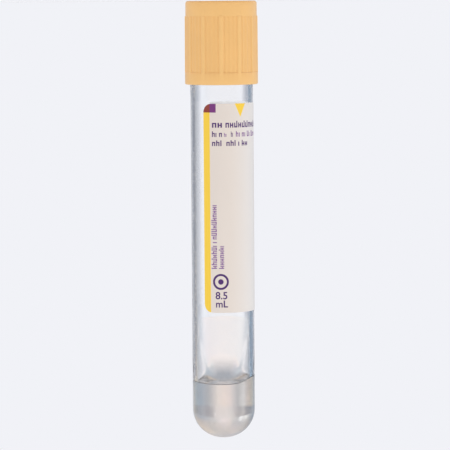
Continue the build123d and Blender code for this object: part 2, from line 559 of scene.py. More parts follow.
# ------------------------------------------------------------------------------ finishes
@dataclass(frozen=True)
class ClearPlastic:
    """Clear moulded polyester; light from the lamps passes it without a dark shadow.

    Attributes:
        name: name of the material.
        tint: colour of the plastic.
        shadow: colour of the lamps' light that has passed it.
        roughness: roughness of the polished wall.
        speckle: how strongly the dried clot activator marks the wall.
    """

    name: str
    tint: Colour = (0.975, 0.983, 0.990)
    shadow: Colour = (0.96, 0.965, 0.97)
    roughness: float = 0.015
    speckle: float = 0.0

    def activator(self, look: Surface) -> NodeSocket:
        """Builds the height of the dried clot activator: fine crumbs, thicker in patches.

        Args:
            look: the material.

        Returns:
            The height, from 0 to 1.
        """
        wires = look.wires
        patch_edge, crumb_edge = (0.40, 0.62), (0.50, 0.66)
        least, more = 0.4, 0.6
        spot = wires.add("Mapping", {0: look.spot, "Scale": (0.35, 0.35, 1.0)}).outputs[0]
        crumbs = wires.add("TexNoise", {"Vector": spot, "Scale": 2600.0, "Detail": 2.0, "Roughness": 0.7})
        patches = wires.add("TexNoise", {"Vector": look.spot, "Scale": 260.0, "Detail": 2.0})
        cover = wires.fade(patches.outputs["Fac"], *patch_edge)
        crumb = wires.fade(crumbs.outputs["Fac"], *crumb_edge)
        return wires.maths("MULTIPLY", crumb, wires.maths("MULTIPLY_ADD", cover, more, least))

    def make(self) -> Material:
        """Builds the material.

        Returns:
            The material.
        """
        values = {"IOR": 1.57, "Transmission Weight": 1.0, "Roughness": self.roughness}
        look = Surface(self.name, values, fineness=900.0, tone=0.04)
        look.colour(self.tint)
        if self.speckle:
            look.emboss(self.speckle, distance=0.00005, height=self.activator(look))
        else:
            look.emboss(strength=0.03, distance=0.00002)
        look.show_to("Is Shadow Ray", look.wires.add("BsdfTransparent", {0: self.shadow}))
        return look.material


@dataclass(frozen=True)
class SeparatorFinish:
    """Slightly cloudy beige gel that wets the wall; its colour comes from its depth.

    Attributes:
        name: name of the material.
        tint: colour of its surface.
        shadow: colour of the lamps' light that has passed it.
        depth_tint: colour that it keeps in depth.
        density: how fast it takes up light, per metre.
        cloud: share of the light that it scatters at its surface.
    """

    name: str
    tint: Colour = (0.985, 0.978, 0.972)
    shadow: Colour = (0.93, 0.90, 0.87)
    depth_tint: Colour = (0.60, 0.33, 0.10)
    density: float = 25.0
    cloud: float = 0.05

    def make(self) -> Material:
        """Builds the material.

        Returns:
            The material.
        """
        values = {"IOR": 1.41, "Transmission Weight": 1.0 - self.cloud}
        look = Surface(self.name, values, fineness=420.0, tone=0.06)
        look.colour(self.tint)
        look.roughen(swing=0.10, least=0.03)
        look.emboss(strength=0.03, distance=0.0002)
        look.show_to("Is Shadow Ray", look.wires.add("BsdfTransparent", {0: self.shadow}))
        depth = look.wires.add("VolumeAbsorption", {0: self.depth_tint, 1: self.density})
        look.wires.link(depth.outputs[0], look.output, 1)
        return look.material


@dataclass(frozen=True)
class MouldedFinish:
    """Opaque moulded plastic or rubber.

    Attributes:
        name: name of the material.
        tint: base colour.
        roughness: mean roughness.
        fineness: scale of the moulding grain.
        grain: height of the grain, metres.
        tone: swing of the tone over the surface.
        sheen: weight of a soft sheen.
        painted_valley_shade: painted shade: how much deeper its green is in the valleys, where the relief
            attribute is 0.
        valley_shade_shares: how much of that painted shade its red, green and blue take.
        painted_glow: painted light: emission that stands in for light passing the piece from behind.
    """

    name: str
    tint: Colour
    roughness: float
    fineness: float = 2400.0
    grain: float = 0.00001
    tone: float = 0.08
    sheen: float = 0.0
    painted_valley_shade: float = 0.0
    valley_shade_shares: Colour = (0.4, 1.0, 1.6)
    painted_glow: float = 0.0

    def make(self) -> Material:
        """Builds the material.

        Returns:
            The material.
        """
        values = {"IOR": 1.49, "Sheen Weight": self.sheen, "Sheen Roughness": 0.5}
        # Painted light: the piece glows in its own colour, as if lit through from behind.
        if self.painted_glow:
            values |= {"Emission Color": self.tint, "Emission Strength": self.painted_glow}
        look = Surface(self.name, values, self.fineness, self.tone)
        colour = self.tint
        # Painted shade: the colour is darker and deeper where the relief attribute is 0, in the valleys
        # between the ribs.
        if self.painted_valley_shade:
            shaded_valley_tint = [tone * (1.0 - self.painted_valley_shade * share) for tone, share in zip(self.tint, self.valley_shade_shares)]
            relief = look.wires.add("Attribute", attribute_name="relief").outputs["Fac"]
            colour = look.wires.blend(relief, shaded_valley_tint, self.tint)
        look.colour(colour)
        look.roughen(swing=0.16, least=self.roughness - 0.08)
        look.emboss(strength=0.35, distance=self.grain)
        return look.material


@dataclass(frozen=True)
class StrokeRow:
    """A row of plain strokes on the flat label, mm from its leading and lower edges.

    Attributes:
        left: where it starts.
        right: where it ends.
        bottom: its lower edge.
        top: its upper edge.
        pitch: width of a cell of strokes.
        ink: its ink.
        turned: it runs up the label, so left and right are heights, and bottom and top are
            distances from the leading edge, as negative numbers.
    """

    left: float
    right: float
    bottom: float
    top: float
    pitch: float
    ink: Ink = Ink.VIOLET
    turned: bool = False

    def mask(self, wires: Wiring, spot: NodeSocket) -> NodeSocket:
        """Places the row.

        Args:
            wires: wiring of the label's material.
            spot: the place along and across the row.

        Returns:
            The mask of its strokes.
        """
        edges = {"Left": self.left, "Right": self.right, "Bottom": self.bottom, "Top": self.top}
        return wires.group("printed_row", {"Place": spot, "Pitch": self.pitch, **edges}).outputs[0]


@dataclass(frozen=True)
class LabelFilm:
    """Satin label film with plain printed fields, placed by the label's own UV map in mm.

    Attributes:
        name: name of the material.
        height: height of the label.
        film: colour of the bare film at the leading side.
        painted_lit_film: colour of the bare film further round, painted lighter and cooler there: painted
            light.
        change: distances between which the film's own colour turns into that painted light.
        band: width of the coloured band at the leading edge.
        corner: width and height of the dark corner field.
        bleed: how far that field is printed past the edges.
        notch: middle, half width and height of the pointer at the top edge.
        rows: the rows of strokes.
    """

    name: str
    height: float
    film: Colour = (0.755, 0.678, 0.612)
    painted_lit_film: Colour = (0.765, 0.737, 0.715)
    change: Point = (6.0, 15.0)
    band: float = 1.77
    corner: Point = (3.35, 2.2)
    bleed: float = 1.0
    notch: tuple[float, float, float] = (9.75, 1.58, 3.35)
    rows: tuple[StrokeRow, ...] = (
        StrokeRow(2.30, 5.10, 46.15, 47.80, 1.40),
        StrokeRow(5.70, 20.4, 46.15, 47.80, 1.12),
        StrokeRow(2.30, 5.00, 43.85, 45.25, 0.90),
        StrokeRow(5.35, 6.30, 43.85, 44.90, 0.48, Ink.PALE_VIOLET),
        StrokeRow(7.10, 7.90, 43.85, 45.25, 0.40),
        StrokeRow(8.40, 17.2, 43.85, 45.25, 0.88, Ink.PALE_VIOLET),
        StrokeRow(2.30, 5.45, 41.60, 43.00, 1.05),
        StrokeRow(5.90, 12.2, 41.60, 43.00, 1.05),
        StrokeRow(10.95, 26.9, -3.42, -2.00, 0.92, Ink.PALE_VIOLET, turned=True),
        StrokeRow(10.95, 16.7, -5.20, -3.88, 0.92, Ink.PALE_VIOLET, turned=True),
    )

    def make(self) -> Material:
        """Builds the material.

        Returns:
            The material.
        """
        values = {"IOR": 1.46, "Coat Weight": 0.08, "Coat Roughness": 0.25}
        look = Surface(self.name, values, fineness=1500.0, tone=0.03)
        wires = look.wires
        uv = wires.add("UVMap", uv_map="label_mm").outputs[0]
        spot = wires.add("Mapping", {0: uv, "Scale": (UV_UNIT, UV_UNIT, 1.0)}).outputs[0]
        split = wires.add("SeparateXYZ", {0: spot})
        across, up = split.outputs[0], split.outputs[1]
        # Partly the film's own colour, partly painted light: over the change distances the film is painted
        # lighter and cooler, where more light falls on it.
        colour = wires.blend(wires.fade(across, *self.change, "SMOOTHSTEP"), self.film, self.painted_lit_film)

        band = wires.maths("LESS_THAN", across, self.band)
        colour = wires.blend(band, colour, Ink.YELLOW.value)
        wide, tall = self.corner
        sides = {"Left": -self.bleed, "Right": wide}
        ends = {"Bottom": self.height - tall, "Top": self.height + self.bleed}
        corner = wires.group("printed_block", {"Place": spot, **sides, **ends}).outputs[0]
        colour = wires.blend(corner, colour, wires.blend(band, Ink.PLUM.value, Ink.RUST.value))
        middle, half, depth = self.notch
        drop = wires.maths("SUBTRACT", up, self.height - depth)
        side = wires.maths("ABSOLUTE", wires.maths("SUBTRACT", across, middle))
        notch = wires.maths("LESS_THAN", side, wires.maths("MULTIPLY", drop, half / depth))
        colour = wires.blend(notch, colour, Ink.YELLOW.value)

        turned = wires.add("CombineXYZ", {0: up, 1: wires.maths("MULTIPLY", across, -1.0)}).outputs[0]
        for strokes in self.rows:
            mask = strokes.mask(wires, turned if strokes.turned else spot)
            colour = wires.blend(mask, colour, strokes.ink.value)
        look.colour(colour)
        look.roughen(swing=0.14, least=0.36)
        look.emboss(strength=0.15, distance=0.00001)
        return look.material


@dataclass(frozen=True)
class FloorFinish:
    """Pale matt floor that keeps a soft shadow; the clear pieces see painted light and shade on it.

    Attributes:
        name: name of the material.
        colour: colour of the floor and of the backdrop.
        evenness: share of the floor's colour that doesn't depend on the light.
        near: painted light and shade that the clear pieces see on it close by, in place of the lit floor:
            angle from straight behind, and colour.
        far: the same painted light and shade, far off, where it follows the painted rings round the object.
        reach: distances at which near ends and far begins, metres.
    """

    name: str
    colour: Colour
    evenness: float = 0.45
    near: Ring = (
        (-90, (0.42, 0.45, 0.52)), (-50, (0.40, 0.43, 0.50)), (-40, (0.56, 0.58, 0.64)),
        (-30, (0.62, 0.64, 0.70)), (-20, (0.70, 0.71, 0.76)), (-12, (0.77, 0.75, 0.80)),
        (-3, (0.75, 0.73, 0.74)), (6, (0.76, 0.74, 0.75)), (14, (0.80, 0.78, 0.77)),
        (22, (0.90, 0.83, 0.78)), (33, (0.95, 0.85, 0.78)), (50, (0.86, 0.78, 0.73)),
    )
    far: Ring = (
        (-90, (0.38, 0.42, 0.48)), (-52, (0.30, 0.35, 0.42)), (-38, (0.50, 0.56, 0.65)),
        (-28, (1.15, 1.22, 1.28)), (-19, (0.74, 0.80, 0.87)), (-11, (0.80, 0.84, 0.90)),
        (-4, (1.12, 1.07, 1.10)), (1, (1.20, 1.14, 1.17)), (8, (0.86, 0.90, 0.98)),
        (16, (0.67, 0.74, 0.83)), (24, (0.58, 0.64, 0.75)), (34, (0.44, 0.51, 0.63)),
        (60, (0.40, 0.47, 0.58)),
    )
    reach: Point = (0.22, 1.0)

    def make(self) -> Material:
        """Builds the material.

        Returns:
            The material.
        """
        look = Surface(self.name, {"Roughness": 0.9, "Specular IOR Level": 0.1}, fineness=60.0, tone=0.01)
        look.colour(self.colour)
        wires = look.wires
        even = wires.add("Emission", {0: self.colour, 1: 1.0})
        plain = wires.add("MixShader", {0: self.evenness, 1: look.shader.outputs[0], 2: even.outputs[0]})
        near_painted_ring, far_painted_ring = wires.rings(wires.add("SeparateXYZ", {0: look.spot}), (self.near, self.far))
        away = wires.add("VectorMath", {0: look.spot}, operation="LENGTH").outputs["Value"]
        seen = wires.blend(wires.fade(away, *self.reach), near_painted_ring, far_painted_ring)
        # Rays through the clear pieces see this painted light and shade in place of the floor.
        look.show_to("Is Transmission Ray", wires.add("Emission", {0: seen, 1: 1.0}), plain)
        return look.material


# ------------------------------------------------------------------------------ the tube
@dataclass
class Tube:
    """Clear round-bottomed tube.

    Attributes:
        end: the round end.
        length: from the round tip to the rim.
        wall: wall thickness.
        flare: how much the wall opens towards the rim.
        flare_start: height at which it starts to open.
        lip: rounding of the rim.
        end_rings: rings of faces on the outside of the round end.
        bore_rings: rings of faces on its inside.
        wall_rings: rings of faces along the straight wall.
    """

    end: RoundEnd = RoundEnd()
    length: float = 100.0
    wall: float = 1.10
    flare: float = 0.09
    flare_start: float = 85.8
    lip: float = 0.42
    end_rings: int = 42
    bore_rings: int = 38
    wall_rings: int = 6

    @property
    def bore(self) -> float:
        """Inner radius of the straight wall."""
        return self.end.radius - self.wall

    def build(self) -> Object:
        """Turns the tube from its section and splits the bore from the outside.

        Returns:
            The tube.
        """
        rim = [(self.end.radius + self.flare, self.length), (self.bore + self.flare, self.length)]
        run = self.flare_start - self.end.height
        straight = [self.end.height + run * ring / self.wall_rings for ring in range(1, self.wall_rings + 1)]
        outside = self.end.points(0.0, self.end_rings) + [(self.end.radius, height) for height in straight]
        inside = self.end.points(self.wall, self.bore_rings) + [(self.bore, height) for height in straight]
        turning = Turning("clear_tube", steps=224, corners=[(self.lip, rim)])
        piece = turning.turn(outside + rim + inside[::-1])
        for face in piece.data.polygons:
            spot = face.center / MM
            outward = Vector((spot.x, spot.y, max(0.0, spot.z - (TIP - self.end.height))))
            inner = outward.dot(face.normal) < 0 and TIP - spot.z < self.length - self.lip
            face.material_index = Face.INNER if inner else Face.OUTER
        return piece

    def dress(self, piece: Object) -> None:
        """Gives the tube its two finishes and ties it to its body.

        Args:
            piece: the tube.
        """
        piece.data.materials.append(ClearPlastic("clear_polyester").make())
        bore = ClearPlastic("clear_polyester_bore", roughness=0.02, speckle=0.12)
        piece.data.materials.append(bore.make())
        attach(piece, Body.TUBE.value)
        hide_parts("tube")


# ------------------------------------------------------------------------------ the gel
@dataclass
class SeparatorGel:
    """Gel plug with a slightly uneven surface, from which a broad tongue climbs the back wall.

    Attributes:
        end: the tube's round end.
        depth_in_wall: depth of its outside in the tube's wall, just inside it so that the gel wets it.
        level: height of its surface, in the middle.
        dip: how far that surface falls towards the front.
        rise_right: how far it rises to the wall on the right.
        rise_back: how far it rises to the wall behind.
        climb: height to which the gel runs up the back wall.
        steepness: how fast its upper edge rises from the sides to the back.
        width: half width of the tongue at the gel's level.
        spread: growth of the half width with height.
        film: thickness of the tongue at the gel's level.
        edge: thickness of the gel left on the wall round the tongue.
        fillet: rounding between the surface and the tongue.
        meniscus: rounding at the bare wall.
        side: width over which the tongue thins out at its sides.
        slope: width over which the fillet runs out there.
        blank: height of the turned plug before its top is drawn.
        end_rings: rings of faces on the round end.
        side_rings: rings of faces along its straight outside.
        film_rings: rings of faces down the wall.
        top_rings: rings of faces over the surface.
    """

    end: RoundEnd = RoundEnd()
    depth_in_wall: float = 1.05
    level: float = 14.45
    dip: float = 0.2
    rise_right: float = 1.5
    rise_back: float = 2.2
    climb: float = 30.0
    steepness: float = 1.6
    width: float = 4.5
    spread: float = 0.21
    film: float = 0.7
    edge: float = 0.07
    fillet: float = 4.8
    meniscus: float = 0.18
    side: float = 1.0
    slope: float = 3.4
    blank: float = 16.0
    end_rings: int = 30
    side_rings: int = 30
    film_rings: int = 44
    top_rings: int = 20

    @property
    def radius(self) -> float:
        """Radius of its straight outside."""
        return self.end.radius - self.depth_in_wall

    def tongue(self, turn: float, height: float, side: float) -> float:
        """Tells how much of the tongue is left at a place on the wall.

        Args:
            turn: angle round the axis from the front, radians.
            height: height above the round tip, mm.
            side: width over which it ends, mm.

        Returns:
            1 in the tongue, 0 beside it.
        """
        aside = abs(math.sin(turn)) * self.radius if math.cos(turn) < 0 else self.radius
        width = self.width + self.spread * (height - self.level)
        return ease(0.5 + (width - aside) / side)

    def wall_top(self, turn: float) -> float:
        """Height to which the gel covers the wall, at an angle from the front in radians."""
        low = self.level + self.meniscus
        return low + (self.climb - low) * ease(0.5 - self.steepness * math.cos(turn))

    def surface(self, turn: float, ring: int) -> Point:
        """Runs from the gel's upper edge down the wall and over the surface to the axis.

        Args:
            turn: angle round the axis from the front, radians.
            ring: number of the ring, from 0 at the upper edge.

        Returns:
            Radius and height, mm.
        """
        top = self.wall_top(turn)
        left = max(0.0, 1.0 - ring / self.film_rings)
        height = self.level + (top - self.level) * left * left
        share = self.tongue(turn, height, self.side)
        fillet = self.meniscus + (self.fillet - self.meniscus) * self.tongue(turn, self.level, self.slope)
        curve = max(0.0, 1.0 - (height - self.level) / fillet)
        thick = self.edge * (1.0 - left**8) + self.film * share * (1.0 - left * left)
        thick += fillet * (1.0 - math.sqrt(1.0 - curve * curve))
        reach = self.radius - thick
        if ring > self.film_rings:
            reach *= 1.0 - (ring - self.film_rings) / self.top_rings
        share = reach / self.radius
        ahead, aside = math.cos(turn) * share, max(0.0, math.sin(turn)) * share
        lift = self.rise_right * aside**3 + (self.rise_back if ahead < 0 else -self.dip) * ahead * ahead
        return reach, height + lift * min(1.0, (self.climb - height) / (self.climb - self.level))

    def build(self) -> Object:
        """Turns a plug, then draws its top into the climbing surface.

        Returns:
            The gel.
        """
        rings = self.film_rings + self.top_rings
        run = self.blank - self.end.height
        bottom = self.end.points(self.depth_in_wall, self.end_rings)
        heights = [self.end.height + run * ring / self.side_rings for ring in range(1, self.side_rings + 1)]
        lid = [(self.radius * (1 - ring / rings), self.blank) for ring in range(1, rings + 1)]
        turning = Turning("separator_gel_plug", steps=256)
        piece = turning.turn(bottom + [(self.radius, height) for height in heights] + lid)
        for vertex in piece.data.vertices:
            spot = vertex.co / MM
            height = TIP - spot.z
            if height <= self.end.height + HAIR:
                continue
            turn = math.atan2(-spot.x, -spot.y)
            reach = math.hypot(spot.x, spot.y)
            if height > self.blank - HAIR:
                reach, height = self.surface(turn, round(rings * (1.0 - reach / self.radius)))
            else:
                upper_edge = self.surface(turn, 0)[1]
                height = self.end.height + (height - self.end.height) / run * (upper_edge - self.end.height)
            vertex.co = place(reach, height, math.degrees(turn))
        piece.data.update()
        return finish_mesh(piece, sharp=60.0)

    def dress(self, piece: Object) -> None:
        """Gives the gel its finish and ties it to its body.

        Args:
            piece: the gel.
        """
        piece.data.materials.append(SeparatorFinish("cloudy_gel").make())
        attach(piece, Body.TUBE.value)
        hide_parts("separator_gel")


# ------------------------------------------------------------------------------ the label
@dataclass
class Label:
    """Printed film wrapped round the tube.

    Attributes:
        bottom: height of its lower edge.
        height: height of the film.
        inner: radius of its inner side.
        thickness: thickness of the film.
        start: angle of its leading edge, degrees.
        wrap: angle that it covers, degrees.
        corner: rounding of its corners.
        columns: strips that it is wrapped in.
        type_columns: strips that the printed number and unit are wrapped in.
        ring_columns: strips that the printed ring is wrapped in.
        type_ink: half the thickness of their ink, and how far its middle lies over the film.
        ring_ink: thickness of the ring's ink, and how far its underside lies over the film.
        type_weight: growth of the type's outline, as a share of its size.
        ring_hole: radius of the ring's hole, as a share of its own.
        ring_dot: radius of the dot in it, as a share of the ring's.
        slots: places for its printed, back and ink finishes.
    """

    bottom: float = 32.5
    height: float = 52.1
    inner: float = 7.86
    thickness: float = 0.10
    start: float = -35.0
    wrap: float = 247.0
    corner: float = 2.2
    columns: int = 160
    type_columns: int = 12
    ring_columns: int = 20
    type_ink: Point = (0.003, 0.002)
    ring_ink: Point = (0.004, 0.001)
    type_weight: float = 0.017
    ring_hole: float = 0.74
    ring_dot: float = 0.34
    slots: tuple[str, ...] = ("film_side", "glue_side", "print_side")

    @property
    def outer(self) -> float:
        """Radius of its printed side."""
        return self.inner + self.thickness

    @property
    def length(self) -> float:
        """Length of the film round the tube."""
        return math.radians(self.wrap) * self.outer

    def cut_strips(self, piece: Object, left: float, right: float, count: int) -> None:
        """Cuts a flat piece into strips with bisect, so that it can follow the tube.

        Args:
            piece: the flat piece.
            left: where the strips start, mm from the leading edge.
            right: where they end.
            count: number of strips.
        """
        edit(piece)
        for step in range(1, count):
            x = (left + (right - left) * step / count) * MM
            bpy.ops.mesh.select_all(action="SELECT")
            bpy.ops.mesh.bisect(plane_co=(x, 0, 0), plane_no=(1, 0, 0))
        clear_selection()

    def wrap_round(self, piece: Object) -> None:
        """Rolls a flat piece round the tube: x runs round it, y up it and z out from it.

        Args:
            piece: the flat piece.
        """
        for vertex in piece.data.vertices:
            run, rise, out = vertex.co / MM
            angle = self.start + math.degrees(run / self.outer)
            vertex.co = place(self.inner + out, self.bottom + rise, angle)
        piece.data.update()

    def build_film(self) -> Object:
        """Models the film flat, with rounded corners and its UV map in mm, and wraps it.

        Returns:
            The wrapped film.
        """
        clear_selection()
        bpy.ops.mesh.primitive_plane_add(size=MM, location=(0, 0, 0))
        film = bpy.context.object
        bpy.ops.object.mode_set(mode="EDIT")
        bpy.ops.transform.resize(value=(self.length, self.height, 1.0))
        bpy.ops.transform.translate(value=(self.length * MM / 2, self.height * MM / 2, 0.0))
        bpy.ops.mesh.bevel(affect="VERTICES", offset=self.corner * MM, segments=10)
        self.cut_strips(film, 0.0, self.length, self.columns)
        hold(film)
        thicken = film.modifiers.new("thickness", "SOLIDIFY")
        thicken.thickness = self.thickness * MM
        thicken.offset = 1.0
        bpy.ops.object.modifier_apply(modifier=thicken.name)
        mesh = film.data
        while mesh.uv_layers:
            mesh.uv_layers.remove(mesh.uv_layers[0])
        layer = mesh.uv_layers.new(name="label_mm")
        for loop in mesh.loops:
            spot = mesh.vertices[loop.vertex_index].co / MM
            layer.data[loop.index].uv = (spot.x / UV_UNIT, spot.y / UV_UNIT)
        for name in self.slots:
            mesh.materials.append(bpy.data.materials[name])
        for face in mesh.polygons:
            face.material_index = Face.OUTER if face.center.z > 0.9 * self.thickness * MM else Face.INNER
        self.wrap_round(film)
        return film

    def build_words(self, text: str, size: float, left: float, base: float) -> Object:
        """Models a plain number or unit as a thin layer of ink and wraps it.

        Args:
            text: what is printed.
            size: size of the type, mm.
            left: distance from the leading edge, mm.
            base: height of its base line above the label's lower edge, mm.

        Returns:
            The wrapped ink.
        """
        half, lift = self.type_ink
        clear_selection()
        bpy.ops.object.text_add(location=(0, 0, 0))
        words = bpy.context.object
        words.data.body = text
        words.data.size = size * MM
        words.data.extrude = half * MM
        words.data.offset = self.type_weight * size * MM
        bpy.ops.object.convert(target="MESH")
        piece = bpy.context.object
        width = max(vertex.co.x for vertex in piece.data.vertices) / MM
        edit(piece, whole=True)
        bpy.ops.transform.translate(value=(left * MM, base * MM, (self.thickness + lift) * MM))
        self.cut_strips(piece, left, left + width, self.type_columns)
        self.wrap_round(piece)
        return piece

    def build_disc(self, across: float, up: float, size: float, hole: float) -> Object:
        """Models a printed disc, with or without a hole, flat on the film.

        Args:
            across: distance of its middle from the leading edge, mm.
            up: height of its middle above the label's lower edge, mm.
            size: its radius, mm.
            hole: radius of its hole, mm, or 0.

        Returns:
            The flat disc.
        """
        thick, lift = self.ring_ink
        clear_selection()
        bpy.ops.mesh.primitive_circle_add(vertices=48, radius=size * MM, fill_type="NGON", location=(0, 0, 0))
        disc = bpy.context.object
        bpy.ops.object.mode_set(mode="EDIT")
        bpy.ops.mesh.select_all(action="SELECT")
        if hole:
            bpy.ops.mesh.inset(thickness=(size - hole) * MM)
            bpy.ops.mesh.delete(type="FACE")
            bpy.ops.mesh.select_all(action="SELECT")
        bpy.ops.mesh.extrude_region_move(TRANSFORM_OT_translate={"value": (0, 0, thick * MM)})
        bpy.ops.mesh.select_all(action="SELECT")
        bpy.ops.mesh.normals_make_consistent(inside=False)
        bpy.ops.transform.translate(value=(across * MM, up * MM, (self.thickness + lift) * MM))
        return disc

    def build_ring(self, left: float, bottom: float, radius: float) -> Object:
        """Models a plain printed ring with a dot in it, in the mark's place, and wraps it.

        Args:
            left: distance of its left side from the leading edge, mm.
            bottom: height of its lower side above the label's lower edge, mm.
            radius: its radius, mm.

        Returns:
            The wrapped ink.
        """
        parts = []
        for size, hole in ((radius, self.ring_hole * radius), (self.ring_dot * radius, 0.0)):
            disc = self.build_disc(left + radius, bottom + radius, size, hole)
            self.cut_strips(disc, left, left + 2 * radius, self.ring_columns)
            self.wrap_round(disc)
            parts.append(disc)
        return join(parts, "ring")

    def build(self) -> Object:
        """Builds the film and its printed number, unit and ring as one piece.

        Returns:
            The label.
        """
        for name in self.slots:
            bpy.data.materials.new(name)
        film = self.build_film()
        inks = [
            self.build_words("8.5", size=2.55, left=2.95, base=3.45),
            self.build_words("mL", size=2.45, left=2.98, base=1.38),
            self.build_ring(left=2.35, bottom=5.75, radius=2.0),
        ]
        for ink in inks:
            for name in self.slots:
                ink.data.materials.append(bpy.data.materials[name])
            for polygon in ink.data.polygons:
                polygon.material_index = Face.PRINT
        return finish_mesh(join([film, *inks], "wrapped_label"), sharp=40.0)

    def dress(self, piece: Object, finishes: Sequence[Material]) -> None:
        """Gives the label its finishes and ties it to its body.

        Args:
            piece: the label.
            finishes: its printed, back and ink finishes.
        """
        for index, finish in enumerate(finishes):
            piece.data.materials[index] = finish
        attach(piece, Body.TUBE.value)
        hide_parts("label")


# ------------------------------------------------------------------------------ the stopper
@dataclass
class Stopper:
    """Rubber stopper with two sealing lands, a flange on the rim and a needle well.

    Attributes:
        bottom: height of its lower end.
        hollow_top: height of the hollow underside's roof.
        land_top: height at which the lower sealing land ends.
        land_start: height at which the upper one starts.
        flange_bottom: height of the flange's underside.
        flange_top: height of its upper side.
        head_bottom: height of the head's underside.
        well_floor: height of the needle well's floor.
        top: height of the head's upper side.
        lead_in: width and height of the slope at the lower end.
        groove: depth of the groove between the lands.
        swell: how much wider the upper land is at its two ends.
        plug: radius of the lower land.
        flange: radius of the flange.
        neck: radius of the groove that the shield grips.
        head: radius of the head.
        well: radius of the needle well.
        hollow: radius of the hollow underside.
        land_round: rounding of the lands.
        flange_round: rounding of the flange and the neck.
        mouth_round: rounding of the head and the well.
        hollow_round: rounding of the hollow's roof.
    """

    bottom: float = 90.52
    hollow_top: float = 96.12
    land_top: float = 93.62
    land_start: float = 96.02
    flange_bottom: float = 100.02
    flange_top: float = 102.42
    head_bottom: float = 104.22
    well_floor: float = 104.62
    top: float = 107.22
    lead_in: float = 0.90
    groove: float = 0.35
    swell: Point = (0.02, 0.055)
    plug: float = 6.74
    flange: float = 8.13
    neck: float = 6.58
    head: float = 7.48
    well: float = 3.9
    hollow: float = 4.0
    land_round: float = 0.30
    flange_round: float = 0.25
    mouth_round: float = 0.50
    hollow_round: float = 0.90

    def build(self) -> Object:
        """Turns the stopper from its section.

        Returns:
            The stopper.
        """
        low, high = (self.plug + swell for swell in self.swell)
        lands = [
            (self.plug - self.lead_in, self.bottom), (self.plug, self.bottom + self.lead_in),
            (self.plug, self.land_top), (self.plug - self.groove, self.land_top + self.groove),
            (low - self.groove, self.land_start - self.groove), (low, self.land_start),
        ]
        flange = [(self.flange, self.flange_bottom), (self.flange, self.flange_top)]
        neck = [(self.neck, self.flange_top), (self.neck, self.head_bottom), (self.head, self.head_bottom)]
        mouth = [(self.head, self.top), (self.well, self.top), (self.well, self.well_floor)]
        under = [(0.0, self.hollow_top), (self.hollow, self.hollow_top), (self.hollow, self.bottom)]
        section = [(0.0, self.well_floor), *under, *lands, (high, self.flange_bottom), *flange, *neck, *mouth]
        corners = [
            (self.land_round, lands), (self.flange_round, [*flange, *neck[1:]]), (self.mouth_round, mouth),
            (self.hollow_round, under[1:2]),
        ]
        return Turning("rubber_stopper", steps=160, corners=corners).turn(section)

    def dress(self, piece: Object, finish: Material) -> None:
        """Gives the stopper its finish and ties it to its body.

        Args:
            piece: the stopper.
            finish: its material.
        """
        piece.data.materials.append(finish)
        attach(piece, Body.CLOSURE.value)
        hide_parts("stopper")


